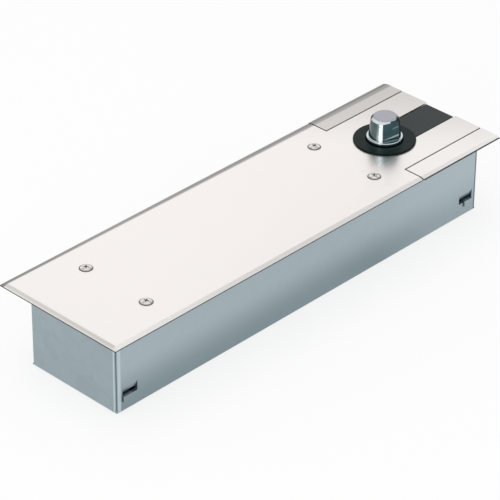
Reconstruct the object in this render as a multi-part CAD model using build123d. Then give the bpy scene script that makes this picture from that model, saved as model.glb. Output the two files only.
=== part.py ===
from build123d import *
import math
import os

# Concealed floor door closer: a cam-and-roller spring unit in a steel cement box under a cover plate.
# Millimetres. Origin on the spindle axis, in the plane of the box's underside.
# +X runs along the box towards its spindle end, +Y across it, +Z up.

# Gaps shared by all pieces
fit_gap = 0.05          # radial play of a shaft, pin, thread or pressed ring in its hole
running_gap = 0.3       # between faces that pass each other
overrun = 1.0           # how far a cutting shape runs past the face that it opens

# Cement box: one blank of galvanised sheet, folded up, with flanges locked inside the long walls
box_length = 341.0
box_width = 78.0
box_height = 60.0
box_sheet = 1.5
box_fold = 2.5          # outside radius of the folds along the floor
spindle_to_box_end = 53.0
corner_fold = 1.4       # outside radius of an end wall's fold into its flange
flange_length = 20.0
seam_gap = 0.2          # between a flange and the long wall over it
lock_inset = 5.0        # from the end wall's face to the lock window
lock_length = 13.0
lock_bend_height = 18.5     # where the pushed-in tongue is bent
lock_tongue = 5.0       # drop of the tongue from its bend to its free edge
lock_opening = 2.5      # open slot below the tongue
lock_push = 1.8         # how far the free edge is pushed in
hook_width = 8.0
hook_drop = 3.6
hook_sheet = 1.0

# Cover plate, its two edge strips and the black trim
plate_length = 358.5
plate_width = 104.4
plate_sheet = 1.5
plate_right_overhang = 5.1   # past the box's spindle end
bevel_run = 3.6
bevel_drop = 0.9
strip_length = 76.9
strip_hold = 1.4        # how far a strip reaches in past the box's wall
strip_gap = 0.8
strip_proud = 0.5
strip_tab_length = 12.0
strip_tab_depth = 5.5
strip_tab_inset = 7.0   # from a strip's end to its first tab
strip_tab_clear = 6.8   # from its last tab to the box's corner flange
slot_width = 26.1
ring_radius = 21.4
ring_rise = 1.2         # of the collar ring's top over the plate
ring_bore = 12.9
ring_edge = 0.5
skirt_radius = 19.7
skirt_depth = 3.0
filler_drop = 0.3       # of the slot filler's top below the plate's
filler_recess = 1.5     # of its end from the plate's end
filler_play = 0.35
filler_edge = 1.0       # rounding of its long upper edges
filler_lip = 2.0        # overlap of its lower lip under the plate
filler_lip_sheet = 1.6

# Cover screws (M5 raised countersunk), the bars that carry them and their weld nuts
cover_screw_near = -40.3
cover_screw_inset = 50.2    # from the plate's left end to the screws there
cover_screw_wall = 11.85    # from the box's long face to a screw's axis
cover_screw_thread = 2.5
cover_screw_head = 4.65
cover_screw_dome = 1.25
cover_screw_length = 12.0
recess_span = 4.4
recess_width = 0.95
recess_depth = 1.9
bar_width = 16.0
bar_sheet = 3.0
bar_leg = 22.0
cover_nut_flats = 8.0
cover_nut_height = 4.0

# Closer body: an iron casting with a spindle chamber, a spring barrel, a valve block and four ears
body_bottom = 4.0
body_top = 50.0
bore_radius = 19.0
bore_height = 27.0      # bore axis above the box's underside
barrel_radius = 22.7
barrel_clear = 26.0     # from the box's left end to the barrel's
chamber_radius = 27.0
chamber_wall = 8.0
chamber_floor = 5.0
bush_boss_wall = 2.0
bush_boss_top = 16.0
bush_floor = 2.5
ear_length = 32.0
ear_clear = 3.5         # between an ear and the box's wall
ear_bottom = 8.5
ear_sheet = 8.0
ear_right = -54.0
valve_block_length = 24.0
valve_block_reach = 29.0
valve_block_drop = 22.0
valve_x = -70.0
filler_x = -150.0
filler_boss_radius = 9.0
filler_boss_rise = 2.0

# Bearing cover and its screws (M4 countersunk)
lid_flange = 4.0
lid_spigot = 9.8
lid_screw_count = 6
lid_screw_circle = 31.0
lid_screw_thread = 2.0
lid_screw_head = 3.75
lid_screw_length = 14.0
lid_relief = 0.5        # over the bearing's inner race
lid_ring_section = 0.9
lid_ring_height = 45.0
seal_radius = 17.0
seal_height = 3.5
seal_lip = 1.2

# Spindle and what it carries; its head is a cone with two flats, all on one taper
disc_bottom = 63.2
disc_height = 2.0
disc_radius = 12.4
disc_edge = 0.45
head_height = 15.2
head_foot_radius = 11.1
head_flat_foot = 9.3    # from the axis to a flat, at the head's foot
head_taper = 5.75       # degrees
head_turn = -21.0       # degrees, from the box's length to the flats with the door closed
head_chamfer = 2.2
head_chamfer_run = 2.3
neck_radius = 11.5
race_journal = 10.0
race_shoulder = 49.0
cam_journal = 8.5
lower_journal = 8.0
spindle_foot = 7.0
lower_journal_top = 17.5
bush_radius = 10.5
spacer_radius = 12.0
circlip_radius = 10.5
circlip_sheet = 1.4
circlip_groove = 1.0
key_width = 5.0
key_height = 5.0
key_length = 10.0
key_sunk = 3.0

# Upper ball bearing
bearing_radius = 21.0
bearing_width = 8.0
inner_race_radius = 13.2
outer_race_bore = 17.8
ball_pitch = 15.5
ball_radius = 2.5
ball_count = 11
cage_half_width = 0.9
cage_half_height = 3.2

# Cam, roller and piston
opening_angle = 130.0   # degrees, door closed to fully open
piston_stroke = 12.5
cam_thickness = 12.0
cam_valley_wall = 3.5
cam_steps = 9
roller_radius = 9.0
roller_height = 11.4
roller_bush_wall = 1.5
pin_radius = 4.0
pin_inset = 1.0
fork_slot = 12.6
fork_arm = 6.0
fork_end_radius = 7.5
fork_throat = 1.7       # from the roller to the floor of the fork's slot
piston_length = 30.0
piston_gap = 0.1
piston_recess = 10.0
piston_recess_radius = 16.9
piston_seal_inset = 12.0
piston_seal_width = 3.0
piston_seal_depth = 2.2
check_ball_radius = 3.0
check_bore = 2.0
check_chamber = 3.3
check_depth = 8.0
check_seat_length = 3.0
check_lift = 0.8
check_stop_radius = 0.8

# Springs and the closing force adjuster
main_wire = 6.0
main_coil_radius = 13.0
main_turns = 14
inner_wire = 3.4
inner_coil_radius = 7.2
inner_turns = 20
end_turn_gap = 0.6      # between the wire of an end turn and the next
spring_plate_room = 57.0    # from the barrel's end to the plate's face
spring_plate_radius = 18.4
spring_plate_sheet = 6.0
spring_guide_radius = 5.0
spring_guide_length = 12.0
power_screw_radius = 6.0
power_screw_length = 46.0
power_socket_flats = 6.0
power_socket_depth = 7.0
plug_length = 18.0
plug_ring_inset = 12.0
plug_ring_section = 1.2
spanner_hole_radius = 2.5
spanner_hole_spread = 12.5
spanner_hole_depth = 5.0
power_ring_section = 0.9

# Regulating valves, filler plug and their seals
valve_spread = 23.5
valve_thread = 4.0
valve_thread_length = 11.0
valve_sunk = 1.5
valve_neck = 2.6
valve_neck_length = 2.4
valve_nose = 2.3
valve_nose_length = 2.8
valve_tip_radius = 0.6
valve_slot = 1.2
valve_slot_depth = 1.8
valve_ring_section = 0.7
passage_radius = 1.2
filler_thread = 5.0
filler_thread_length = 6.0
filler_head_flats = 14.0
filler_head_height = 3.0
filler_washer_radius = 8.0
filler_washer_sheet = 1.0

# Fixings between the box and the body (M6)
clamp_thread = 3.0
clamp_offset = -8.0     # along X from the middle of the ear
clamp_inset = 5.0       # from an ear's end to its screws
clamp_slot = 6.0
clamp_head_flats = 10.0
clamp_head_height = 4.0
clamp_screw_foot = 1.0  # from the box floor up to the screw's end
washer_radius = 6.0
washer_sheet = 1.6
box_nut_flats = 10.0
box_nut_height = 5.0
jack_offset = 8.0
jack_thread = 3.0
jack_length = 19.0
jack_point = 1.5
jack_socket_flats = 3.0
jack_socket_depth = 4.0

# Places worked out from the sizes above
box_right = spindle_to_box_end
box_left = box_right - box_length
box_half = box_width / 2
wall_inside = box_half - box_sheet
plate_top = box_height + plate_sheet
plate_right = box_right + plate_right_overhang
plate_left = plate_right - plate_length
plate_half = plate_width / 2
strip_left = plate_right - strip_length
strip_inside = wall_inside - strip_hold
strip_tab_places = [
    strip_left + strip_tab_inset,
    box_right - flange_length - strip_tab_clear - strip_tab_length,
]
cover_screw_far = plate_left + cover_screw_inset
cover_screw_half = box_half - cover_screw_wall
cover_screw_places = [
    (x, y)
    for x in (cover_screw_far, cover_screw_near)
    for y in (-cover_screw_half, cover_screw_half)
]
body_radius = chamber_radius + chamber_wall
barrel_end = box_left + barrel_clear
ear_left = barrel_end + ear_length / 2
ear_reach = wall_inside - ear_clear
ear_top = ear_bottom + ear_sheet
lid_top = body_top + lid_flange
lid_bottom = body_top - lid_spigot
disc_top = disc_bottom + disc_height
head_top = disc_top + head_height
bearing_bottom = race_shoulder - bearing_width
bearing_middle = race_shoulder - bearing_width / 2
cam_bottom = bore_height - cam_thickness / 2
cam_top = bore_height + cam_thickness / 2
circlip_bottom = cam_bottom - circlip_sheet
key_top = bore_height + key_length / 2
key_bottom = bore_height - key_length / 2
cam_gap_radius = roller_radius + running_gap
roller_rest = cam_journal + cam_valley_wall + cam_gap_radius
cam_rise = piston_stroke / math.radians(opening_angle)
piston_front = -roller_rest - roller_radius - fork_throat
piston_rear = piston_front - piston_length
spring_seat = piston_rear + piston_recess
piston_radius = bore_radius - piston_gap
spring_plate_place = barrel_end + spring_plate_room
power_screw_front = spring_plate_place - spring_plate_sheet
power_screw_rear = power_screw_front - power_screw_length
plug_front = barrel_end + plug_length
plug_ring_place = barrel_end + plug_ring_inset
filler_boss_top = body_top + filler_boss_rise
clamp_half = ear_reach - clamp_inset
clamp_places = [(ear + clamp_offset, y) for ear in (ear_left, ear_right) for y in (-clamp_half, clamp_half)]
jack_places = [(ear + jack_offset, y) for ear in (ear_left, ear_right) for y in (-clamp_half, clamp_half)]
lid_screw_places = [
    (lid_screw_circle * math.cos(a), lid_screw_circle * math.sin(a))
    for a in [math.tau * (k + 1 / 2) / lid_screw_count for k in range(lid_screw_count)]
]


def block(x0, x1, y0, y1, z0, z1):
    """A cuboid between two corners."""
    return Pos((x0 + x1) / 2, (y0 + y1) / 2, (z0 + z1) / 2) * Box(abs(x1 - x0), abs(y1 - y0), abs(z1 - z0))


def post(radius, z0, z1, x=0, y=0):
    """An upright cylinder."""
    return Pos(x, y, (z0 + z1) / 2) * Cylinder(radius, abs(z1 - z0))


def rod(radius, x0, x1, y=0, z=bore_height):
    """A cylinder along X, on the bore's axis unless told otherwise."""
    return Pos((x0 + x1) / 2, y, z) * Rot(0, 90, 0) * Cylinder(radius, abs(x1 - x0))


def taper(low_radius, high_radius, z0, z1, x=0, y=0):
    """An upright cone between two heights."""
    return Pos(x, y, (z0 + z1) / 2) * Cone(low_radius, high_radius, z1 - z0)


def hexagon(flats, z0, z1, x=0, y=0):
    """An upright hexagonal prism, given across its flats."""
    outline = Pos(x, y, z0) * RegularPolygon(flats / 2, 6, major_radius=False)
    return extrude(outline, z1 - z0)


def upright_ring(centre_radius, section, z, x=0, y=0):
    """An O-ring round an upright axis."""
    return Pos(x, y, z) * Torus(centre_radius, section)


def bore_ring(centre_radius, section, x):
    """An O-ring round the bore's axis."""
    return Pos(x, 0, bore_height) * Rot(0, 90, 0) * Torus(centre_radius, section)


def extruded_y(points, y0, y1):
    """A prism along Y from an outline of (x, z) points."""
    face = make_face(Polyline(*[(x, y0, z) for x, z in points], close=True))
    return extrude(face, y1 - y0, dir=(0, 1, 0))


def extruded_x(points, x0, x1):
    """A prism along X from an outline of (y, z) points."""
    face = make_face(Polyline(*[(x0, y, z) for y, z in points], close=True))
    return extrude(face, x1 - x0, dir=(1, 0, 0))


def mirrored(shape, plane):
    """A shape together with its mirror image."""
    return [shape, mirror(shape, about=plane)]


def save(node, shape):
    """Write one named piece, or one group of like pieces, to its own file."""
    solids = shape if isinstance(shape, list) else [shape]
    solids = [s for item in solids for s in item.solids()]
    part = solids[0] if len(solids) == 1 else Compound(children=solids)
    part.label = node
    export_step(part, f"parts/{node}.step")


def folded_tray():
    """Floor and four walls of the box, folds rounded along the floor."""
    outside = block(box_left, box_right, -box_half, box_half, 0, box_height)
    outside = fillet(outside.faces().sort_by(Axis.Z)[0].edges(), box_fold)
    inside = block(box_left + box_sheet, box_right - box_sheet, -wall_inside, wall_inside,
                   box_sheet, box_height + overrun)
    inside = fillet(inside.faces().sort_by(Axis.Z)[0].edges(), box_fold - box_sheet)
    return outside - inside


def corner_cut():
    """The notch at the left front corner that parts the end wall from the long wall."""
    return block(box_left - overrun, box_left + box_sheet, -box_half - overrun, -wall_inside + seam_gap,
                 box_sheet, box_height + overrun)


def corner_flange():
    """The end wall's flange, tucked inside the long wall at the left front corner."""
    outer = -wall_inside + seam_gap
    flange = block(box_left, box_left + flange_length, outer, outer + box_sheet,
                   box_fold + seam_gap, box_height)
    fold = flange.edges().filter_by(Axis.Z).sort_by(lambda e: e.center().X + e.center().Y)[0]
    return fillet(fold, corner_fold)


def lock_window(y0, y1):
    """What the lock opens in the long wall or the flange, between two distances from the middle."""
    x0 = box_left + lock_inset
    return block(x0, x0 + lock_length, -y0, -y1, lock_bend_height - lock_tongue - lock_opening, lock_bend_height)


def lock_tongue_piece():
    """The tongue of the long wall, bent in below its upper edge."""
    x0 = box_left + lock_inset
    free_edge = lock_bend_height - lock_tongue
    outline = [
        (-box_half, lock_bend_height),
        (-wall_inside, lock_bend_height),
        (-wall_inside + lock_push, free_edge),
        (-box_half + lock_push, free_edge),
    ]
    return extruded_x(outline, x0 + seam_gap, x0 + lock_length - seam_gap)


def lock_hook():
    """The flange's tab, out through the window and down over the long wall."""
    x0 = box_left + lock_inset + seam_gap
    foot = lock_bend_height - lock_tongue - lock_opening
    low = foot + seam_gap
    out = -box_half - seam_gap
    flange_inner = -wall_inside + seam_gap + box_sheet
    step = block(x0, x0 + hook_width, out - hook_sheet, flange_inner, low, low + hook_sheet)
    drop = block(x0, x0 + hook_width, out - hook_sheet, out, low - hook_drop, low + hook_sheet)
    root = block(x0, x0 + hook_width, flange_inner - box_sheet, flange_inner, foot - overrun, low + hook_sheet)
    return step + drop + root


def cement_box():
    """The folded box with its four locked corners."""
    box = folded_tray()
    cut = [corner_cut(), lock_window(wall_inside - seam_gap, box_half + overrun)]
    add = [
        corner_flange() - lock_window(wall_inside - box_sheet - overrun, wall_inside),
        lock_tongue_piece(),
        lock_hook(),
    ]
    across = Plane((((box_left + box_right) / 2), 0, 0), z_dir=(1, 0, 0))
    for shape in cut:
        for half in mirrored(shape, Plane.XZ):
            for copy in mirrored(half, across):
                box -= copy
    for shape in add:
        for half in mirrored(shape, Plane.XZ):
            for copy in mirrored(half, across):
                box += copy
    return box


def bevel_cut_y(x0, x1, outer, sign):
    """What a bevel along a long edge takes off the plate."""
    outline = [
        (sign * (outer - bevel_run), plate_top),
        (sign * (outer + overrun), plate_top - bevel_drop * (1 + overrun / bevel_run)),
        (sign * (outer + overrun), plate_top + overrun),
        (sign * (outer - bevel_run), plate_top + overrun),
    ]
    return extruded_x(outline, x0 - overrun, x1 + overrun)


def bevel_cut_x():
    """What the bevel of the short left edge takes off the plate."""
    outline = [
        (plate_left + bevel_run, plate_top),
        (plate_left - overrun, plate_top - bevel_drop * (1 + overrun / bevel_run)),
        (plate_left - overrun, plate_top + overrun),
        (plate_left + bevel_run, plate_top + overrun),
    ]
    return extruded_y(outline, -plate_half - overrun, plate_half + overrun)


def screw_seat(x, y):
    """The through hole and countersink of a cover screw."""
    drop = cover_screw_head - cover_screw_thread
    seat = taper(cover_screw_thread + fit_gap, cover_screw_head + fit_gap, plate_top - drop, plate_top, x, y)
    reach = plate_top - cover_screw_length - overrun
    return seat + post(cover_screw_thread + fit_gap, reach, plate_top, x, y)


def cover_plate():
    """The stainless cover, bevelled on three sides, open towards the spindle end."""
    plate = block(plate_left, plate_right, -plate_half, plate_half, box_height, plate_top)
    plate -= bevel_cut_x()
    for sign in (-1, 1):
        plate -= bevel_cut_y(plate_left, plate_right, plate_half, sign)
        edge = sign * (plate_half + overrun)
        plate -= block(strip_left - strip_gap, plate_right + overrun,
                       sign * (strip_inside - strip_gap), edge, box_height - overrun, plate_top + overrun)
    plate -= post(skirt_radius + running_gap, box_height - overrun, plate_top + overrun)
    plate -= block(0, plate_right + overrun, -slot_width / 2, slot_width / 2,
                   box_height - overrun, plate_top + overrun)
    for x, y in cover_screw_places:
        plate -= screw_seat(x, y)
    return plate


def edge_strip(sign):
    """A loose strip beside the spindle, with two tabs that hook inside the box's long wall."""
    outer = plate_half + strip_proud
    strip = block(strip_left, plate_right, sign * strip_inside, sign * outer, box_height, plate_top)
    strip -= bevel_cut_y(strip_left, plate_right, outer, sign)
    for x0 in strip_tab_places:
        strip += block(x0, x0 + strip_tab_length, sign * strip_inside, sign * (wall_inside - seam_gap),
                       box_height - strip_tab_depth, box_height)
    return strip


def collar_ring():
    """The black ring round the spindle: a flange on the plate and a skirt through it."""
    top = plate_top + ring_rise
    flange = post(ring_radius, plate_top, top)
    flange = fillet(flange.faces().sort_by(Axis.Z)[-1].edges(), ring_edge)
    skirt = post(skirt_radius, plate_top - skirt_depth, plate_top)
    return flange + skirt - post(ring_bore, plate_top - skirt_depth - overrun, top + overrun)


def slot_filler():
    """The black strip that closes the plate's slot, with lips that hook under the plate."""
    half = slot_width / 2 - filler_play
    end = plate_right - filler_recess
    lip_end = box_right - box_sheet - running_gap
    strip = block(0, end, -half, half, box_height, plate_top - filler_drop)
    strip = fillet(strip.faces().sort_by(Axis.Z)[-1].edges().filter_by(Axis.X), filler_edge)
    lips = block(0, lip_end, -half - filler_lip, half + filler_lip, box_height - filler_lip_sheet, box_height)
    return strip + lips - post(skirt_radius + running_gap, box_height - skirt_depth, plate_top + overrun)


def cross_recess(x, y, top):
    """The cross in a screw's head."""
    half = recess_span / 2
    arm = recess_width / 2
    cross = block(x - half, x + half, y - arm, y + arm, top - recess_depth, top)
    return cross + block(x - arm, x + arm, y - half, y + half, top - recess_depth, top)


def cover_screw(x, y):
    """A raised countersunk screw with a cross recess."""
    drop = cover_screw_head - cover_screw_thread
    shank = post(cover_screw_thread, plate_top - cover_screw_length, plate_top, x, y)
    cone = taper(cover_screw_thread, cover_screw_head, plate_top - drop, plate_top, x, y)
    dome_radius = (cover_screw_head ** 2 + cover_screw_dome ** 2) / (2 * cover_screw_dome)
    ball = Pos(x, y, plate_top + cover_screw_dome - dome_radius) * Sphere(dome_radius)
    dome = ball & post(cover_screw_head, plate_top, plate_top + dome_radius, x, y)
    return shank + cone + dome - cross_recess(x, y, plate_top + cover_screw_dome)


def support_bar(x):
    """A steel bar under the plate, its ends folded down and welded to the long walls."""
    half = bar_width / 2
    bar = block(x - half, x + half, -wall_inside, wall_inside, box_height - bar_sheet, box_height)
    for sign in (-1, 1):
        bar += block(x - half, x + half, sign * wall_inside, sign * (wall_inside - bar_sheet),
                     box_height - bar_leg, box_height)
    for y in (-cover_screw_half, cover_screw_half):
        bar -= screw_seat(x, y)
    return bar


def cover_nut(x, y):
    """A weld nut under a support bar."""
    top = box_height - bar_sheet
    nut = hexagon(cover_nut_flats, top - cover_nut_height, top, x, y)
    return nut - post(cover_screw_thread + fit_gap, top - cover_nut_height - overrun, top + overrun, x, y)


def valve_hole(y):
    """The stepped hole of a regulating valve and its passage into the bore."""
    thread_foot = body_top - valve_sunk - valve_thread_length
    neck_foot = thread_foot - valve_neck_length
    nose_foot = neck_foot - valve_nose_length
    hole = post(valve_thread + fit_gap, thread_foot - valve_neck_length, body_top + overrun, valve_x, y)
    hole += post(valve_nose + fit_gap, nose_foot, neck_foot, valve_x, y)
    low = nose_foot + passage_radius
    passage = Pos(valve_x, y / 2, low) * Rot(90, 0, 0) * Cylinder(passage_radius, abs(y))
    return hole + passage


def closer_body():
    """The casting, bored from its left end and from the top of the chamber."""
    reach = -bush_boss_radius() - bush_boss_wall
    body = post(body_radius, body_bottom, body_top) + rod(barrel_radius, barrel_end, reach)
    body += block(valve_x - valve_block_length / 2, valve_x + valve_block_length / 2,
                  -valve_block_reach, valve_block_reach, body_top - valve_block_drop, body_top)
    for ear in (ear_left, ear_right):
        body += block(ear - ear_length / 2, ear + ear_length / 2, -ear_reach, ear_reach, ear_bottom, ear_top)
    body += post(filler_boss_radius, bore_height + bore_radius, filler_boss_top, filler_x)
    body -= rod(bore_radius, barrel_end - overrun, reach)
    body -= post(chamber_radius, body_bottom + chamber_floor, body_top + overrun)
    body += post(bush_boss_radius(), body_bottom, bush_boss_top)
    body -= post(bush_radius + fit_gap, body_bottom + bush_floor, bush_boss_top + overrun)
    for x, y in lid_screw_places:
        body -= post(lid_screw_thread + fit_gap, lid_top - lid_screw_length - overrun, body_top + overrun, x, y)
    for x, y in clamp_places:
        hole = clamp_thread + running_gap
        low, high = ear_bottom - overrun, ear_top + overrun
        body -= block(x - clamp_slot / 2, x + clamp_slot / 2, y - hole, y + hole, low, high)
        body -= post(hole, low, high, x - clamp_slot / 2, y) + post(hole, low, high, x + clamp_slot / 2, y)
    for x, y in jack_places:
        body -= post(jack_thread + fit_gap, ear_bottom - overrun, ear_top + overrun, x, y)
    for y in (-valve_spread, valve_spread):
        body -= valve_hole(y)
    body -= post(filler_thread + fit_gap, bore_height, filler_boss_top + overrun, filler_x)
    return body


def bush_boss_radius():
    """Outside radius of the boss that holds the lower bush."""
    return bush_radius + bush_boss_wall


def bearing_cover():
    """The lid of the chamber: bearing seat below, seal pocket above."""
    lid = post(body_radius, body_top, lid_top)
    lid += post(chamber_radius - fit_gap, lid_bottom, body_top)
    lid -= post(bearing_radius + fit_gap, lid_bottom - overrun, race_shoulder)
    lid -= post(outer_race_bore, lid_bottom, race_shoulder + lid_relief)
    lid -= post(neck_radius + running_gap, lid_bottom, lid_top + overrun)
    lid -= post(seal_radius + fit_gap, lid_top - seal_height, lid_top + overrun)
    groove = post(chamber_radius, lid_ring_height - lid_ring_section - fit_gap,
                  lid_ring_height + lid_ring_section + fit_gap)
    lid -= groove - post(chamber_radius - 2 * (lid_ring_section + fit_gap), lid_bottom, body_top)
    drop = lid_screw_head - lid_screw_thread
    for x, y in lid_screw_places:
        lid -= post(lid_screw_thread + fit_gap, body_top - overrun, lid_top + overrun, x, y)
        lid -= taper(lid_screw_thread + fit_gap, lid_screw_head + fit_gap, lid_top - drop, lid_top, x, y)
    return lid


def lid_screw(x, y):
    """A countersunk screw of the bearing cover, with a hexagon socket."""
    drop = lid_screw_head - lid_screw_thread
    screw = post(lid_screw_thread, lid_top - lid_screw_length, lid_top, x, y)
    screw += taper(lid_screw_thread, lid_screw_head, lid_top - drop, lid_top, x, y)
    return screw - hexagon(lid_screw_thread, lid_top - drop, lid_top, x, y)


def shaft_seal():
    """A rubber lip seal round the spindle's neck."""
    low = lid_top - seal_height
    seal = post(seal_radius, low, lid_top)
    seal -= post(neck_radius + fit_gap, low - overrun, lid_top + overrun)
    hollow = post(seal_radius - seal_lip, low - overrun, lid_top - seal_lip)
    return seal - (hollow - post(neck_radius + seal_lip, low - overrun, lid_top))


def lower_bush():
    """The bronze bush under the spindle."""
    low = body_bottom + bush_floor
    return post(bush_radius, low, bush_boss_top) - post(lower_journal + fit_gap, low - overrun,
                                                       bush_boss_top + overrun)


def spindle_head():
    """The tapered head that the door's strap sits on: a cone with two flats and a chamfered top."""
    slope = math.tan(math.radians(head_taper))
    shoulder = head_top - head_chamfer
    shoulder_radius = head_foot_radius - (shoulder - disc_top) * slope
    head = taper(head_foot_radius, shoulder_radius, disc_top, shoulder)
    head += taper(shoulder_radius, shoulder_radius - head_chamfer_run, shoulder, head_top)
    flat_top = head_flat_foot - head_height * slope
    outline = [(-head_flat_foot, disc_top), (head_flat_foot, disc_top), (flat_top, head_top), (-flat_top, head_top)]
    return Rot(0, 0, head_turn) * (head & extruded_x(outline, -head_foot_radius, head_foot_radius))


def key_slot(gap, x0, x1):
    """The space of the cam's key, with a gap round it."""
    half = key_width / 2 + gap
    return block(x0, x1, -half, half, key_bottom - gap, key_top + gap)


def spindle():
    """The spindle in one piece, stepping down in diameter towards its foot."""
    disc = post(disc_radius, disc_bottom, disc_top)
    disc = fillet(disc.edges().filter_by(GeomType.CIRCLE), disc_edge)
    shaft = post(neck_radius, race_shoulder, disc_bottom)
    shaft += post(race_journal, bearing_bottom, race_shoulder)
    shaft += post(cam_journal, lower_journal_top, bearing_bottom)
    shaft += post(lower_journal, spindle_foot, lower_journal_top)
    ring = post(cam_journal + overrun, circlip_bottom, cam_bottom)
    shaft -= ring - post(cam_journal - circlip_groove, circlip_bottom, cam_bottom)
    shaft -= key_slot(fit_gap, cam_journal - key_sunk - fit_gap, cam_journal + overrun)
    return shaft + disc + spindle_head()


def pitch_point(angle):
    """Where the roller's surface meets the cam after a turn of the spindle, in the cam's own frame."""
    radius = roller_rest + cam_rise * angle
    lean = math.atan(cam_rise / radius)
    along = radius - cam_gap_radius * math.cos(lean)
    aside = cam_gap_radius * math.sin(lean)
    outward = math.pi - angle
    x = along * math.cos(outward) + aside * math.sin(outward)
    y = along * math.sin(outward) - aside * math.cos(outward)
    return x, y


def cam_outline():
    """The heart-shaped cam: a valley for the roller, two steady rises and a round back."""
    full = math.radians(opening_angle)
    rise = [pitch_point(full * k / cam_steps) for k in range(cam_steps + 1)]
    fall = [(x, -y) for x, y in reversed(rise)]
    valley = ThreePointArc(fall[-1], (cam_gap_radius - roller_rest, 0), rise[0])
    back = ThreePointArc(rise[-1], (math.hypot(*rise[-1]), 0), fall[0])
    return make_face([valley, Spline(*rise), back, Spline(*fall)])


def cam_disc():
    """The cam, keyed to the spindle."""
    cam = extrude(Pos(0, 0, cam_bottom) * cam_outline(), cam_thickness)
    cam -= post(cam_journal + fit_gap, cam_bottom - overrun, cam_top + overrun)
    half = key_width / 2 + fit_gap
    slot_end = cam_journal - key_sunk + key_height + fit_gap
    return cam - block(0, slot_end, -half, half, cam_bottom - overrun, cam_top + overrun)


def cam_key():
    """The parallel key between spindle and cam."""
    return key_slot(0, cam_journal - key_sunk, cam_journal - key_sunk + key_height)


def spacer_sleeve():
    """The sleeve between the cam and the bearing's inner race."""
    return post(spacer_radius, cam_top, bearing_bottom) - post(cam_journal + fit_gap, cam_top - overrun,
                                                              bearing_bottom + overrun)


def cam_circlip():
    """The split ring under the cam."""
    clip = post(circlip_radius, circlip_bottom, cam_bottom)
    clip -= post(cam_journal - circlip_groove + fit_gap, circlip_bottom - overrun, cam_bottom + overrun)
    half = cam_journal / 2
    return clip - block(-circlip_radius - overrun, 0, -half, half, circlip_bottom - overrun, cam_bottom + overrun)


def race(outer, inner):
    """A bearing race with its ball groove."""
    ring = post(outer, bearing_bottom, race_shoulder)
    ring -= post(inner, bearing_bottom - overrun, race_shoulder + overrun)
    return ring - upright_ring(ball_pitch, ball_radius + fit_gap, bearing_middle)


def ball_turns():
    """The angles, in degrees, at which the balls stand round the bearing."""
    return [360 * k / ball_count for k in range(ball_count)]


def bearing_balls():
    """The balls of the upper bearing."""
    return [Rot(0, 0, turn) * Pos(ball_pitch, 0, bearing_middle) * Sphere(ball_radius) for turn in ball_turns()]


def ball_cage():
    """The cage between the races, with a pocket for each ball."""
    low, high = bearing_middle - cage_half_height, bearing_middle + cage_half_height
    cage = post(ball_pitch + cage_half_width, low, high)
    cage -= post(ball_pitch - cage_half_width, low - overrun, high + overrun)
    for turn in ball_turns():
        pocket = Rot(0, 90, 0) * Cylinder(ball_radius + fit_gap, 4 * cage_half_width)
        cage -= Rot(0, 0, turn) * Pos(ball_pitch, 0, bearing_middle) * pocket
    return cage


def fork_arm_piece(z0, z1):
    """One arm of the piston's fork."""
    pin = -roller_rest
    arm = block(piston_front - overrun, pin, -fork_end_radius, fork_end_radius, z0, z1)
    return (arm + post(fork_end_radius, z0, z1, pin)) & rod(piston_radius, piston_front - overrun, 0)


def piston():
    """The piston with its fork, seal groove, spring recess and check valve chamber."""
    body = rod(piston_radius, piston_rear, piston_front)
    half = fork_slot / 2
    body += fork_arm_piece(bore_height + half, bore_height + half + fork_arm)
    body += fork_arm_piece(bore_height - half - fork_arm, bore_height - half)
    reach = half + fork_arm + overrun
    body -= post(pin_radius + fit_gap, bore_height - reach, bore_height + reach, -roller_rest)
    body -= rod(piston_recess_radius, piston_rear - overrun, spring_seat)
    front = piston_front - piston_seal_inset
    groove = rod(bore_radius, front - piston_seal_width, front)
    body -= groove - rod(piston_radius - piston_seal_depth, piston_rear, piston_front)
    body -= rod(check_bore, spring_seat - overrun, piston_front)
    body -= rod(check_chamber, piston_front - check_depth, piston_front + overrun)
    middle = piston_front - check_depth - check_seat_length / 2
    body -= Pos(middle, 0, bore_height) * Rot(0, 90, 0) * Cone(check_bore, check_chamber, check_seat_length)
    return body - check_stop_pin(check_stop_radius + fit_gap)


def check_ball_place():
    """Centre of the check ball when it is shut, just clear of its conical seat."""
    slope = (check_chamber - check_bore) / check_seat_length
    clear = (check_ball_radius + fit_gap) * math.hypot(1, slope)
    return piston_front - check_depth - check_seat_length + (clear - check_bore) / slope


def check_stop_pin(radius):
    """The cross pin that keeps the ball in, or its hole."""
    place = check_ball_place() + check_ball_radius + check_lift + check_stop_radius + fit_gap
    return Pos(place, 0, bore_height) * Rot(90, 0, 0) * Cylinder(radius, 2 * (check_chamber + overrun))


def check_ball():
    """The ball of the check valve."""
    return Pos(check_ball_place(), 0, bore_height) * Sphere(check_ball_radius)


def piston_seal():
    """The sealing ring in the piston's groove."""
    front = piston_front - piston_seal_inset - fit_gap
    rear = front - piston_seal_width + 2 * fit_gap
    ring = rod(bore_radius - fit_gap, rear, front)
    return ring - rod(piston_radius - piston_seal_depth + fit_gap, rear - overrun, front + overrun)


def roller_pin():
    """The pin through the fork."""
    reach = fork_slot / 2 + fork_arm - pin_inset
    return post(pin_radius, bore_height - reach, bore_height + reach, -roller_rest)


def cam_roller():
    """The hardened roller that runs on the cam."""
    half = roller_height / 2
    roller = post(roller_radius, bore_height - half, bore_height + half, -roller_rest)
    bore = pin_radius + roller_bush_wall + 2 * fit_gap
    return roller - post(bore, bore_height - half - overrun, bore_height + half + overrun, -roller_rest)


def roller_bush():
    """The bronze bush inside the roller."""
    half = roller_height / 2
    bush = post(pin_radius + roller_bush_wall + fit_gap, bore_height - half, bore_height + half, -roller_rest)
    return bush - post(pin_radius + fit_gap, bore_height - half - overrun, bore_height + half + overrun,
                       -roller_rest)


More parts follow.
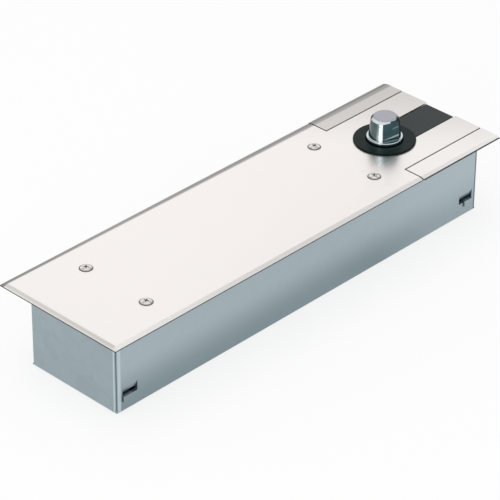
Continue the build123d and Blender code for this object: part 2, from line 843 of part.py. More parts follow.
def coil_spring(wire, radius, turns, x0, x1):
    """A compression spring along the bore, each half turn one arc in a leaning plane."""
    start = x1 - wire / 2
    length = x1 - x0 - wire
    end_rise = (wire + end_turn_gap) / 2
    rise = (length - 4 * end_rise) / (2 * turns - 4)
    rises = [end_rise] * 2 + [rise] * (2 * turns - 4) + [end_rise] * 2
    arcs = []
    x, side = start, 1
    for step in rises:
        half_span = math.hypot(radius, step / 2)
        begin = (x, 0, bore_height + side * radius)
        middle = (x - step / 2, side * half_span, bore_height)
        end = (x - step, 0, bore_height - side * radius)
        arcs.append(ThreePointArc(begin, middle, end))
        x, side = x - step, -side
    section = Plane((start, 0, bore_height + radius), z_dir=(0, 1, 0)) * Circle(wire / 2)
    return sweep(section, path=Wire(arcs))


def spring_plate():
    """The movable seat of both springs."""
    plate = rod(spring_plate_radius, power_screw_front, spring_plate_place)
    return plate + rod(spring_guide_radius, spring_plate_place, spring_plate_place + spring_guide_length)


def power_screw():
    """The closing force screw, with a hexagon socket at its outer end."""
    screw = rod(power_screw_radius, power_screw_rear, power_screw_front)
    key = Plane((power_screw_rear, 0, bore_height), z_dir=(1, 0, 0)) * RegularPolygon(
        power_socket_flats / 2, 6, major_radius=False)
    return screw - extrude(key, power_socket_depth)


def end_plug():
    """The screwed plug that closes the barrel and carries the closing force screw."""
    plug = rod(bore_radius - fit_gap, barrel_end, plug_front)
    plug -= rod(power_screw_radius + fit_gap, barrel_end - overrun, plug_front + overrun)
    plug -= bore_ring(bore_radius - plug_ring_section, plug_ring_section + fit_gap, plug_ring_place)
    plug -= bore_ring(power_screw_radius + power_ring_section, power_ring_section + fit_gap, plug_ring_place)
    for y in (-spanner_hole_spread, spanner_hole_spread):
        plug -= rod(spanner_hole_radius, barrel_end - overrun, barrel_end + spanner_hole_depth, y)
    return plug


def valve(y):
    """A regulating needle valve, screwed in from the top of the valve block."""
    top = body_top - valve_sunk
    neck_top = top - valve_thread_length
    nose_top = neck_top - valve_neck_length
    nose_foot = nose_top - valve_nose_length + fit_gap
    needle = post(valve_thread, neck_top, top, valve_x, y)
    needle += post(valve_neck, nose_top + fit_gap, neck_top, valve_x, y)
    needle += taper(valve_tip_radius, valve_nose, nose_foot, nose_top + fit_gap, valve_x, y)
    reach = valve_thread + overrun
    half = valve_slot / 2
    return needle - block(valve_x - reach, valve_x + reach, y - half, y + half, top - valve_slot_depth,
                          top + overrun)


def valve_ring(y):
    """The seal round a regulating valve's neck."""
    height = body_top - valve_sunk - valve_thread_length - valve_neck_length / 2
    return upright_ring(valve_neck + valve_ring_section + fit_gap, valve_ring_section - fit_gap, height, valve_x, y)


def filler_plug():
    """The oil filler plug on the barrel."""
    seat = filler_boss_top + filler_washer_sheet
    plug = post(filler_thread, filler_boss_top - filler_thread_length, seat, filler_x)
    return plug + hexagon(filler_head_flats, seat, seat + filler_head_height, filler_x)


def filler_washer():
    """The copper sealing washer under the filler plug."""
    high = filler_boss_top + filler_washer_sheet
    ring = post(filler_washer_radius, filler_boss_top, high, filler_x)
    return ring - post(filler_thread + fit_gap, filler_boss_top - overrun, high + overrun, filler_x)


def clamp_screw(x, y):
    """A hexagon screw that clamps an ear of the body to its nut on the box's floor."""
    seat = ear_top + washer_sheet
    screw = post(clamp_thread, box_sheet + clamp_screw_foot, seat, x, y)
    return screw + hexagon(clamp_head_flats, seat, seat + clamp_head_height, x, y)


def clamp_washer(x, y):
    """The washer over an ear's slot."""
    ring = post(washer_radius, ear_top, ear_top + washer_sheet, x, y)
    return ring - post(clamp_thread + fit_gap, ear_top - overrun, ear_top + washer_sheet + overrun, x, y)


def box_nut(x, y):
    """A nut welded to the box's floor."""
    top = box_sheet + box_nut_height
    nut = hexagon(box_nut_flats, box_sheet, top, x, y)
    return nut - post(clamp_thread + fit_gap, box_sheet - overrun, top + overrun, x, y)


def jack_screw(x, y):
    """A set screw in an ear, standing on the box's floor to level the body."""
    top = box_sheet + jack_length
    screw = post(jack_thread, box_sheet + jack_point, top, x, y)
    screw += taper(jack_thread / 2, jack_thread, box_sheet, box_sheet + jack_point, x, y)
    return screw - hexagon(jack_socket_flats, top - jack_socket_depth, top + overrun, x, y)


def each(maker, places):
    """One piece at each of several places."""
    return [maker(x, y) for x, y in places]


os.makedirs("parts", exist_ok=True)

save("cement_box", cement_box())
save("cover_plate", cover_plate())
save("edge_strip_front", edge_strip(-1))
save("edge_strip_back", edge_strip(1))
save("collar_ring", collar_ring())
save("slot_filler", slot_filler())
save("cover_screws", each(cover_screw, cover_screw_places))
save("support_bars", [support_bar(cover_screw_far), support_bar(cover_screw_near)])
save("support_nuts", each(cover_nut, cover_screw_places))

save("closer_body", closer_body())
save("bearing_cover", bearing_cover())
save("bearing_cover_screws", each(lid_screw, lid_screw_places))
save("bearing_cover_o_ring", upright_ring(chamber_radius - lid_ring_section - fit_gap, lid_ring_section,
                                          lid_ring_height))
save("shaft_seal", shaft_seal())
save("lower_bush", lower_bush())
save("bearing_outer_race", race(bearing_radius, outer_race_bore))
save("clamp_screws", each(clamp_screw, clamp_places))
save("clamp_washers", each(clamp_washer, clamp_places))
save("box_nuts", each(box_nut, clamp_places))
save("jack_screws", each(jack_screw, jack_places))
save("end_plug", end_plug())
save("end_plug_o_ring", bore_ring(bore_radius - plug_ring_section, plug_ring_section - fit_gap, plug_ring_place))
save("power_screw_o_ring", bore_ring(power_screw_radius + power_ring_section + fit_gap,
                                     power_ring_section - fit_gap, plug_ring_place))
save("filler_plug", filler_plug())
save("filler_washer", filler_washer())

save("spindle", spindle())
save("cam_disc", cam_disc())
save("cam_key", cam_key())
save("spacer_sleeve", spacer_sleeve())
save("cam_circlip", cam_circlip())
save("bearing_inner_race", race(inner_race_radius, race_journal + fit_gap))
save("bearing_balls", bearing_balls())
save("ball_cage", ball_cage())

save("piston", piston())
save("piston_seal", piston_seal())
save("roller_pin", roller_pin())
save("cam_roller", cam_roller())
save("roller_bush", roller_bush())
save("check_ball", check_ball())
save("check_stop", check_stop_pin(check_stop_radius))

save("main_spring", coil_spring(main_wire, main_coil_radius, main_turns,
                                spring_plate_place + fit_gap, spring_seat - fit_gap))
save("inner_spring", coil_spring(inner_wire, inner_coil_radius, inner_turns,
                                 spring_plate_place + fit_gap, spring_seat - fit_gap))
save("spring_plate", spring_plate())
save("power_screw", power_screw())

save("closing_valve", valve(-valve_spread))
save("closing_valve_ring", valve_ring(-valve_spread))
save("latching_valve", valve(valve_spread))
save("latching_valve_ring", valve_ring(valve_spread))
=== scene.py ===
import math

import bpy
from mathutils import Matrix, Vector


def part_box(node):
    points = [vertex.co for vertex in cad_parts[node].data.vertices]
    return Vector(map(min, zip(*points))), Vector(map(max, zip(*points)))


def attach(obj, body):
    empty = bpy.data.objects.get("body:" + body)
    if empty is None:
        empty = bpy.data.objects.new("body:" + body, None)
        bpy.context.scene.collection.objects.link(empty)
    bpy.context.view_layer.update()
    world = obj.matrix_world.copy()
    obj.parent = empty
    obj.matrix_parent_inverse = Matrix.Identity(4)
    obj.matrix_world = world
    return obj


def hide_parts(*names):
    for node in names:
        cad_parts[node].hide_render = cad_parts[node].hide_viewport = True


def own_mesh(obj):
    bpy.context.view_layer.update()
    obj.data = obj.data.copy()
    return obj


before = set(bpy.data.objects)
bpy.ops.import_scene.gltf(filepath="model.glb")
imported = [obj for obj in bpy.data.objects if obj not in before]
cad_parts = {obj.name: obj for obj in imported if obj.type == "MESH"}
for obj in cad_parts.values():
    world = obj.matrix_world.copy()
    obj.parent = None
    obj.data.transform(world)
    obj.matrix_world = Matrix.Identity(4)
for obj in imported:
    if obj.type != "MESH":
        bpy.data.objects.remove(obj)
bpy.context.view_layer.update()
bpy.ops.object.select_all(action="DESELECT")


# The cement box: one blank of galvanised sheet, folded up, with the flanges of its end walls
# locked inside the long walls. It is cast into the floor and holds all the rest.
# Its zinc shows soft clouds, a faint spangle and the grain of the rolled sheet.
class Value:
    """A socket in a material's nodes. Arithmetic on it adds Math nodes."""

    def __init__(self, tree, socket=None):
        self.tree = tree
        self.socket = socket

    def node(self, kind, settings, inputs, output=0):
        """Adds a node of any kind, its settings first, and gives one of its outputs, if any."""
        made = self.tree.nodes.new(kind)
        for name, value in settings.items():
            setattr(made, name, value)
        for name, value in inputs.items():
            if isinstance(value, Value):
                self.tree.links.new(value.socket, made.inputs[name])
            else:
                made.inputs[name].default_value = value
        return Value(self.tree, made.outputs[output] if made.outputs else None)

    def math(self, operation, first, second=0.0):
        return self.node("ShaderNodeMath", {"operation": operation}, {0: first, 1: second})

    def mixed(self, share, first, second):
        """One colour fading into another."""
        return self.node("ShaderNodeMix", {"data_type": "RGBA"}, {0: share, 6: first, 7: second}, 2)

    def __add__(self, other):
        return self.math("ADD", self, other)

    def __radd__(self, other):
        return self.math("ADD", other, self)

    def __sub__(self, other):
        return self.math("SUBTRACT", self, other)

    def __rsub__(self, other):
        return self.math("SUBTRACT", other, self)

    def __mul__(self, other):
        return self.math("MULTIPLY", self, other)

    def __rmul__(self, other):
        return self.math("MULTIPLY", other, self)


def tone(red, green, blue):
    """A colour given as screen values from 0 to 255."""
    return tuple(
        (c / 255 / 12.92) if c <= 10 else ((c / 255 + 0.055) / 1.055) ** 2.4
        for c in (red, green, blue)
    ) + (1.0,)


class Finish:
    """A new material: where its nodes start, and its shader."""

    def __init__(self, name, **constants):
        self.material = bpy.data.materials.new(name)
        self.material.use_nodes = True
        tree = self.material.node_tree
        self.shader = tree.nodes["Principled BSDF"]
        for socket, value in constants.items():
            self.shader.inputs[socket.replace("_", " ")].default_value = value
        self.start = Value(tree)
        self.place = self.start.node("ShaderNodeTexCoord", {}, {}, "Object")

    def along(self, axis, output="Object"):
        """One coordinate of the place on the piece, or of its normal."""
        vector = self.start.node("ShaderNodeTexCoord", {}, {}, output)
        return self.start.node("ShaderNodeSeparateXYZ", {}, {"Vector": vector}, axis)

    def away(self, axis, middle=0.0, output="Object"):
        """How far that coordinate lies from a middle, to either side."""
        return self.start.math("ABSOLUTE", self.along(axis, output) - middle)

    def fade(self, value, nothing, whole):
        """From 0 to 1 as a value goes from one bound to another."""
        return self.start.node("ShaderNodeMapRange", {"interpolation_type": "SMOOTHSTEP"}, {
            0: value, 1: nothing, 2: whole, 3: 0.0, 4: 1.0})

    def stretched(self, x, y, z):
        """The place on the piece, scaled along each axis."""
        return self.start.node("ShaderNodeMapping", {}, {"Vector": self.place, "Scale": (x, y, z)})

    def noise(self, vector, scale, detail=2.0, rough=0.5):
        return self.start.node("ShaderNodeTexNoise", {}, {
            "Vector": vector, "Scale": scale, "Detail": detail, "Roughness": rough})

    def feed(self, socket, value):
        self.start.tree.links.new(value.socket, self.shader.inputs[socket])

    def relief(self, height, distance, strength=1.0):
        """Raises the surface by a height pattern, at most by the distance."""
        self.feed("Normal", self.start.node("ShaderNodeBump", {}, {
            "Height": height, "Distance": distance, "Strength": strength}))


def dress(piece, finish):
    """Gives a piece one finish all over."""
    piece.data.materials.clear()
    piece.data.materials.append(finish.material)


def picked(piece):
    """Selects one piece alone and makes it the active one."""
    bpy.ops.object.select_all(action="DESELECT")
    piece.select_set(True)
    bpy.context.view_layer.objects.active = piece


def merged_copy(node, name):
    """A copy of a CAD node's mesh, its loose triangles joined, left open in edit mode."""
    piece = bpy.data.objects.new(name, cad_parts[node].data.copy())
    bpy.context.scene.collection.objects.link(piece)
    picked(piece)
    bpy.ops.object.mode_set(mode="EDIT")
    bpy.ops.mesh.select_all(action="SELECT")
    bpy.ops.mesh.remove_doubles(threshold=1e-6)
    return piece


def softened(node, body, edge, finish, round_below=28):
    """A copy of a CAD node with its sharp edges eased, which stands for the node."""
    piece = merged_copy(node, node + "_eased")
    bpy.ops.mesh.dissolve_limited(angle_limit=math.radians(0.5))
    bpy.ops.object.mode_set(mode="OBJECT")
    ease = piece.modifiers.new("ease", "BEVEL")
    ease.width = edge
    ease.segments = 2
    ease.limit_method = "ANGLE"
    ease.angle_limit = math.radians(38)
    ease.use_clamp_overlap = False
    bpy.ops.object.modifier_apply(modifier=ease.name)
    bpy.ops.object.shade_smooth_by_angle(angle=math.radians(round_below))
    level = piece.modifiers.new("level", "WEIGHTED_NORMAL")
    level.weight = 100
    level.keep_sharp = True
    bpy.ops.object.modifier_apply(modifier=level.name)
    dress(piece, finish)
    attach(piece, body)
    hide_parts(node)
    bpy.ops.object.select_all(action="DESELECT")
    return piece


box_middle = -0.1175
box_half_length = 0.1705
box_half_width = 0.0390
wall_foot = 0.004
wall_middle = 0.036
box_edge = 0.00022
zinc_dark = tone(136, 153, 160)
zinc_light = tone(182, 196, 201)
long_wall_painted_light = tone(182, 194, 200)
wall_foot_painted_shade = tone(133, 150, 156)
end_wall_painted_shade = tone(150, 160, 165)
inner_zinc = tone(146, 162, 168)
corner_highlight_zinc = tone(200, 213, 218)
corner_shade_zinc = tone(92, 104, 108)

zinc = Finish("galvanised_sheet", Metallic=1.0)
cloud = zinc.noise(zinc.place, 14.0, 4.0, 0.6)
cells = zinc.start.node("ShaderNodeTexVoronoi", {}, {"Vector": zinc.place, "Scale": 150.0}, 1)
spangle = zinc.start.node("ShaderNodeSeparateColor", {}, {"Color": cells})
rolled = zinc.noise(zinc.stretched(4.0, 90.0, 700.0), 1.0, 3.0)
sheet = zinc.start.mixed(cloud * 0.62 + spangle * 0.2 + rolled * 0.18, zinc_dark, zinc_light)

# The long walls get painted light, more of it towards the spindle, and painted shade towards the
# floor; the other faces are greyed a little by painted shade.
long_wall = zinc.fade(zinc.away(1, output="Normal"), 0.4, 0.8)
by_spindle = zinc.fade(zinc.along(0), -0.06, 0.03)
sheet = zinc.start.mixed(long_wall * (0.5 + by_spindle * 0.2), sheet, long_wall_painted_light)
low = zinc.fade(zinc.along(2), wall_middle, wall_foot) * long_wall * (1.0 - by_spindle * 0.5)
sheet = zinc.start.mixed(low * 0.95, sheet, wall_foot_painted_shade)
sheet = zinc.start.mixed((1.0 - long_wall) * 0.3, sheet, end_wall_painted_shade)

# Greyer inside the lock windows, a painted highlight on the folds of the near left corner, and
# painted shade on the folds of the others.
from_middle = zinc.away(0, box_middle)
from_centre = zinc.away(1)
inside = zinc.fade(from_centre, box_half_width - 0.0003, box_half_width - 0.0006)
inside = inside * zinc.fade(from_middle, box_half_length - 0.0003, box_half_length - 0.0006)
sheet = zinc.start.mixed(inside, sheet, inner_zinc)
near_left_corner = zinc.fade(zinc.along(0), -0.10, -0.11) * zinc.fade(zinc.along(1), 0.001, -0.001)
corner_highlight = zinc.fade(from_middle, box_half_length - 0.0040, box_half_length - 0.0035)
corner_highlight = corner_highlight * zinc.fade(from_centre, box_half_width - 0.0030, box_half_width - 0.0025)
# Painted highlight on the folds of the near left corner.
sheet = zinc.start.mixed(corner_highlight * near_left_corner * 0.8, sheet, corner_highlight_zinc)
corner_shade = zinc.fade(from_middle, box_half_length - 0.0033, box_half_length - 0.0025)
corner_shade = corner_shade * zinc.fade(from_centre, box_half_width - 0.0016, box_half_width - 0.0010)
# Painted shade on the folds of the other corners.
sheet = zinc.start.mixed(corner_shade * (1.0 - near_left_corner) * 0.85, sheet, corner_shade_zinc)

zinc.feed("Base Color", sheet)
zinc.feed("Roughness", 0.30 + cloud * 0.16 + spangle * 0.06)
zinc.relief(rolled * 0.5 + zinc.noise(zinc.place, 900.0) * 0.5, 0.00004, 0.5)
softened("cement_box", "housing", box_edge, zinc)
for node in ("support_bars", "support_nuts", "box_nuts"):
    dress(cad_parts[node], zinc)


# The closer's casting with its bearing cover: grey iron, sand cast and painted thinly,
# held down in the box by four clamp screws. The piston in its bore is iron too.
iron = Finish("cast_iron", Metallic=0.0, Specular_IOR_Level=0.4)
grains = iron.noise(iron.place, 1100.0, 3.0, 0.6)
stain = iron.noise(iron.place, 30.0, 3.0)
paint = iron.start.mixed(stain * 0.7 + grains * 0.3, tone(58, 62, 64), tone(98, 103, 104))
iron.feed("Base Color", paint)
iron.feed("Roughness", 0.48 + grains * 0.25)
iron.relief(grains, 0.00025, 0.6)
for node in ("closer_body", "bearing_cover", "piston"):
    dress(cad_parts[node], iron)


# Screws, plugs and washers inside: bright zinc-plated or plain turned steel.
# Their surfaces carry fine tool marks and a little uneven wear.
steel = Finish("turned_steel", Metallic=1.0)
marks = steel.noise(steel.stretched(60.0, 60.0, 2600.0), 1.0, 2.0)
wear = steel.noise(steel.place, 120.0, 3.0)
steel.feed("Base Color", steel.start.mixed(wear, tone(150, 153, 156), tone(186, 189, 191)))
steel.feed("Roughness", 0.24 + wear * 0.14)
steel.relief(marks, 0.00003, 0.4)
for node in ("bearing_cover_screws", "clamp_screws", "clamp_washers", "jack_screws", "end_plug",
             "filler_plug", "spacer_sleeve", "spring_plate", "power_screw", "closing_valve",
             "latching_valve", "cam_key", "cam_circlip", "check_stop", "roller_pin"):
    dress(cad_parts[node], steel)


# Cam, roller, bearing races and balls: hardened steel, ground to size, with a thin film of oil.
# The bearing and the cam sit on the spindle, the roller on its pin in the piston's fork.
ground = Finish("ground_steel", Metallic=1.0, Coat_Weight=0.3, Coat_Roughness=0.1)
oily = ground.noise(ground.place, 200.0, 2.0)
ground.feed("Base Color", ground.start.mixed(oily, tone(160, 160, 158), tone(196, 196, 193)))
ground.feed("Roughness", 0.12 + oily * 0.1)
for node in ("cam_disc", "cam_roller", "bearing_outer_race", "bearing_inner_race", "bearing_balls",
             "check_ball"):
    dress(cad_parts[node], ground)


# The closing springs, one inside the other: wound from hardened wire with a blue-black scale.
# The piston presses them from one end and the movable spring plate from the other, so each is
# in two halves that meet at its middle, which stays where it is.
spring_round_below = 35

scale = Finish("spring_steel", Metallic=0.75)
flecks = scale.noise(scale.place, 600.0, 3.0)
scale.feed("Base Color", scale.start.mixed(flecks, tone(52, 55, 62), tone(92, 94, 98)))
scale.feed("Roughness", 0.34 + flecks * 0.2)


def spring_half(node, end, middle, joint):
    """Half of a spring, from its still middle to the end that a joint pushes in."""
    half = merged_copy(node, f"{node}_{joint}")
    bpy.ops.mesh.select_all(action="SELECT")
    bpy.ops.mesh.bisect(plane_co=(middle, 0, 0), plane_no=(1, 0, 0), use_fill=True,
                        clear_inner=end > middle, clear_outer=end < middle)
    bpy.ops.object.mode_set(mode="OBJECT")
    bpy.ops.object.shade_smooth_by_angle(angle=math.radians(spring_round_below))
    dress(half, scale)
    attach(half, "housing")
    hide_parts(node)
    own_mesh(half)
    bpy.ops.object.select_all(action="DESELECT")


for node in ("main_spring", "inner_spring"):
    plate_end, piston_end = (corner.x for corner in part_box(node))
    middle = (plate_end + piston_end) / 2
    spring_half(node, piston_end, middle, "spindle_turn")
    spring_half(node, plate_end, middle, "spring_plate_slide")


# The bushes under the spindle and in the roller: sintered bronze, pressed in and soaked with oil.
# The copper washer under the filler plug is close to it in colour.
bronze = Finish("bronze", Metallic=1.0)
pores = bronze.noise(bronze.place, 1500.0, 2.0)
bronze.feed("Base Color", bronze.start.mixed(pores, tone(150, 112, 70), tone(196, 152, 98)))
bronze.feed("Roughness", 0.3 + pores * 0.15)
bronze.relief(pores, 0.00005, 0.4)
for node in ("lower_bush", "roller_bush", "filler_washer"):
    dress(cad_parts[node], bronze)


# The seals: moulded black rubber with a dull, slightly bloomed skin, each squeezed in its groove
# round a plug, a valve, the piston or the spindle.
rubber = Finish("seal_rubber", Specular_IOR_Level=0.3)
bloom = rubber.noise(rubber.place, 350.0, 3.0)
rubber.feed("Base Color", rubber.start.mixed(bloom, tone(22, 22, 22), tone(44, 44, 45)))
rubber.feed("Roughness", 0.55 + bloom * 0.2)
for node in ("bearing_cover_o_ring", "shaft_seal", "end_plug_o_ring", "power_screw_o_ring",
             "piston_seal", "closing_valve_ring", "latching_valve_ring"):
    dress(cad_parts[node], rubber)


# The cover plate and its two loose strips: stainless sheet with a satin finish, brushed along
# its length after the bevels were formed. Screws hold the plate to the support bars, and the
# strips have tabs that hook inside the box's long walls beside the spindle.
plate_left = -0.3004
plate_front = -0.0522
bevel_run = 0.0036
slot_half_width = 0.01305
plate_edge = 0.00012
round_below_bevels = 11
end_bevel_shade = tone(234, 229, 223)
end_bevel_highlight = tone(252, 248, 243)
front_bevel_light = tone(255, 253, 250)
far_bevel_shade_left = tone(142, 140, 138)
far_bevel_shade_right = tone(168, 166, 163)
far_corner_shade = tone(206, 203, 199)
cut_and_shadow_tone = tone(6, 6, 6)
far_bevel_start = 0.0455
far_bevel_whole = 0.0475
far_bevel_lean = 0.0078


def satin_sheet(name, dark, light):
    """Satin sheet with painted shade towards the far right corner, painted light and shade on its
    bevels, and dark cut edges.
    """
    satin = Finish(name, Metallic=1.0)
    x, y = satin.along(0), satin.along(1)
    brushed = satin.noise(satin.stretched(5.0, 1500.0, 1500.0), 1.0, 3.0, 0.6)
    haze = satin.noise(satin.place, 9.0, 3.0)
    sheet = satin.start.mixed(haze * 0.6 + brushed * 0.4, dark, light)
    # Painted shade greys the sheet towards the far right corner.
    sheet = satin.start.mixed(satin.fade(x + y * 0.8, -0.02, 0.09) * 0.7, sheet, far_corner_shade)

    # The formed bevels, each from just inside its fold, in painted light and shade.
    left_fold = plate_left + bevel_run
    # The end bevel is darkened by painted shade.
    end_bevel = satin.fade(x, left_fold + 0.0003, left_fold - 0.0001)
    sheet = satin.start.mixed(end_bevel * 0.9, sheet, end_bevel_shade)
    # The end bevel's outer half gets a painted highlight.
    outer_half = satin.fade(x, plate_left + 0.0018, plate_left + 0.0010)
    sheet = satin.start.mixed(outer_half, sheet, end_bevel_highlight)
    # The front bevel is painted bright: painted light.
    front_fold = plate_front + bevel_run
    front_bevel = satin.fade(y, front_fold + 0.0003, front_fold - 0.0001)
    sheet = satin.start.mixed(front_bevel, sheet, front_bevel_light)
    # The far bevel is in painted shade, deepest at its left.
    far_bevel = satin.fade(y + x * far_bevel_lean, far_bevel_start, far_bevel_whole)
    far_bevel_shade = satin.start.mixed(satin.fade(x, -0.29, -0.20), far_bevel_shade_left, far_bevel_shade_right)
    sheet = satin.start.mixed(far_bevel * 0.95, sheet, far_bevel_shade)

    # Cut edges are dark, partly their own cut face and partly painted shadow in the gap under the
    # plate, except along the slot, where they stay bright beside the plastic.
    cut = satin.fade(satin.away(2, output="Normal"), 0.8, 0.45)
    by_slot = satin.fade(satin.away(1), slot_half_width + 0.00055, slot_half_width + 0.00015)
    cut = cut * (1.0 - by_slot * satin.fade(x, -0.02, -0.01))
    # A painted shadow line along the outermost front and left edges.
    edge_shadow = satin.start.math("MAXIMUM", satin.fade(y, plate_front + 0.0002, plate_front + 0.0001),
                            satin.fade(x, plate_left + 0.0002, plate_left + 0.0001))
    cut = satin.start.math("MAXIMUM", cut, edge_shadow * 0.9)
    satin.feed("Base Color", satin.start.mixed(cut, sheet, cut_and_shadow_tone))
    satin.feed("Roughness", 0.22 + brushed * 0.12 + haze * 0.05 + cut * 0.2)
    satin.relief(brushed, 0.00001, 0.5)
    return satin


satin = satin_sheet("satin_stainless", tone(249, 243, 240), tone(254, 250, 247))
softened("cover_plate", "housing", plate_edge, satin, round_below_bevels)
softened("edge_strip_front", "housing", plate_edge, satin, round_below_bevels)
# The back strip gets the same satin in darker tones: painted shade.
shaded = satin_sheet("dull_stainless", tone(214, 211, 207), tone(228, 225, 221))
softened("edge_strip_back", "housing", plate_edge, shaded, round_below_bevels)


# The collar ring round the spindle and the filler of the plate's slot: black moulded plastic,
# clipped in, with a fine matt texture. The bearing's cage is of the same plastic.
ring_edge = 0.00018
filler_edge = 0.00015
edge_shade_black = tone(2, 4, 4)


def black_plastic(name, dark, light, shine, rough):
    """Moulded black plastic, with painted shade making it deeper black on its rounded edges."""
    plastic = Finish(name, Specular_IOR_Level=shine)
    matt = plastic.noise(plastic.place, 1800.0, 2.0)
    shade = plastic.noise(plastic.place, 60.0, 2.0)
    turned_down = plastic.fade(plastic.along(2, "Normal"), 0.97, 0.8)
    skin = plastic.start.mixed(shade, dark, light)
    # Painted shade on the edges that turn down.
    plastic.feed("Base Color", plastic.start.mixed(turned_down, skin, edge_shade_black))
    plastic.feed("Roughness", rough + matt * 0.12)
    plastic.relief(matt, 0.00003, 0.5)
    return plastic


filler_plastic = black_plastic("black_plastic", tone(30, 37, 39), tone(38, 45, 47), 0.38, 0.40)
# The collar ring is the same plastic in darker, greener tones: painted shade.
shaded_ring_plastic = black_plastic("shaded_ring_plastic", tone(4, 24, 21), tone(14, 33, 31), 0.12, 0.30)
softened("collar_ring", "housing", ring_edge, shaded_ring_plastic)
softened("slot_filler", "housing", filler_edge, filler_plastic)
dress(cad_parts["ball_cage"], filler_plastic)


# Four raised countersunk screws with a cross recess, of stainless steel, polished by tumbling.
# They go through the plate into the nuts under the support bars, and stand a little proud.
screw_top = 0.0615
head_radius = 0.00465
head_drop = 0.00215
shank_radius = 0.0025
shank_foot = 0.0495
dome_steps = [(0.0, 0.0), (0.00035, 0.00024), (0.0011, 0.00068), (0.0021, 0.00103),
              (0.0032, 0.0012)]
recess_arm = 0.00095
recess_span = 0.0046
recess_depth = 0.0021
recess_top = screw_top + 0.00125
recess_narrowing = (0.5, 0.62, 1.0)
screw_edge = 0.0001
screw_places = [(-0.2502, -0.02715, 0.35), (-0.2502, 0.02715, 0.9),
                (-0.0403, -0.02715, 0.6), (-0.0403, 0.02715, 0.15)]

bright = Finish("tumbled_stainless", Metallic=1.0)
tumble = bright.noise(bright.place, 700.0, 3.0)
# Painted shade darkens the rim of each dome, where it turns down.
rim_shade = bright.fade(bright.along(2, "Normal"), 0.93, 0.83)
polished = bright.start.mixed(tumble, tone(206, 204, 198), tone(246, 244, 238))
bright.feed("Base Color", bright.start.mixed(rim_shade * 0.85, polished, tone(30, 28, 26)))
bright.feed("Roughness", 0.14 + tumble * 0.12)
bright.relief(tumble, 0.00002, 0.4)


def selected_flat(piece, height):
    """Opens edit mode with only the level faces at one height selected."""
    bpy.ops.object.mode_set(mode="OBJECT")
    for vertex in piece.data.vertices:
        vertex.select = False
    for line in piece.data.edges:
        line.select = False
    for face in piece.data.polygons:
        face.select = abs(face.center.z - height) < 1e-6 and abs(face.normal.z) > 0.9
    bpy.ops.object.mode_set(mode="EDIT")


def cut_away(piece, tool):
    """Cuts a tool's shape out of a piece and removes the tool."""
    cut = piece.modifiers.new("cut", "BOOLEAN")
    cut.operation = "DIFFERENCE"
    cut.object = tool
    cut.solver = "EXACT"
    picked(piece)
    bpy.ops.object.modifier_apply(modifier=cut.name)
    bpy.data.objects.remove(tool)


def recess_bar(turn):
    """One bar of the cross that the driver's tip fills, narrower at its foot."""
    bpy.ops.mesh.primitive_cube_add(size=1.0, location=(0, 0, recess_top))
    bar = bpy.context.object
    bar.scale = (recess_span, recess_arm, 2 * recess_depth)
    bpy.ops.object.transform_apply(location=True, rotation=True, scale=True)
    foot = recess_top - recess_depth
    selected_flat(bar, foot)
    bpy.ops.mesh.select_mode(type="FACE")
    bpy.ops.transform.resize(value=recess_narrowing, center_override=(0, 0, foot))
    bpy.ops.object.mode_set(mode="OBJECT")
    bar.rotation_euler = (0, 0, turn)
    bpy.ops.object.transform_apply(location=True, rotation=True, scale=True)
    return bar


bpy.ops.mesh.primitive_cone_add(vertices=72, radius1=shank_radius, radius2=head_radius,
                                depth=head_drop, location=(0, 0, screw_top - head_drop / 2))
screw = bpy.context.object
screw.name = "cover_screw"
bpy.ops.object.transform_apply(location=True, rotation=True, scale=True)
selected_flat(screw, screw_top)
bpy.ops.mesh.select_mode(type="FACE")
for (inward, rise), (next_inward, next_rise) in zip(dome_steps, dome_steps[1:]):
    bpy.ops.mesh.inset(thickness=next_inward - inward)
    bpy.ops.transform.translate(value=(0, 0, next_rise - rise))
selected_flat(screw, screw_top - head_drop)
shank_length = screw_top - head_drop - shank_foot
bpy.ops.mesh.extrude_region_move(TRANSFORM_OT_translate={"value": (0, 0, -shank_length)})
bpy.ops.object.mode_set(mode="OBJECT")
for turn in (0, math.pi / 2):
    cut_away(screw, recess_bar(turn))
edge = screw.modifiers.new("edge", "BEVEL")
edge.width = screw_edge
edge.segments = 2
edge.limit_method = "ANGLE"
edge.angle_limit = math.radians(40)
picked(screw)
bpy.ops.object.modifier_apply(modifier=edge.name)
bpy.ops.object.shade_smooth_by_angle(angle=math.radians(30))
dress(screw, bright)

for number, (x, y, turn) in enumerate(screw_places, 1):
    copy = bpy.data.objects.new(f"cover_screw_{number}", screw.data.copy())
    bpy.context.scene.collection.objects.link(copy)
    picked(copy)
    copy.rotation_euler = (0, 0, turn)
    copy.location = (x, y, 0)
    bpy.ops.object.transform_apply(location=True, rotation=True, scale=True)
    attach(copy, "housing")
    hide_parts("cover_screws")
bpy.data.objects.remove(screw)


# The spindle: forged and turned steel, zinc plated, with two flats milled on its tapered head.
# It turns in the ball bearing and the lower bush. The door's strap sits on the head and turns it.
head_foot = 0.0652
chamfer_foot = 0.0781
end_face_foot = 0.0795
flat_turn = math.radians(21)
flat_half = 0.0093
head_slope = math.tan(math.radians(5.75))
low_reflection_height = 0.0677
high_reflection_height = 0.0738
reflection_slope = 0.18
shade_over_chamfer = 0.0015
spindle_edge = 0.00012
end_face_tone = tone(169, 171, 178)
cone_shade_tone = tone(40, 60, 64)
cone_highlight_tone = tone(212, 228, 234)
reflected_edge_tone = tone(170, 196, 200)

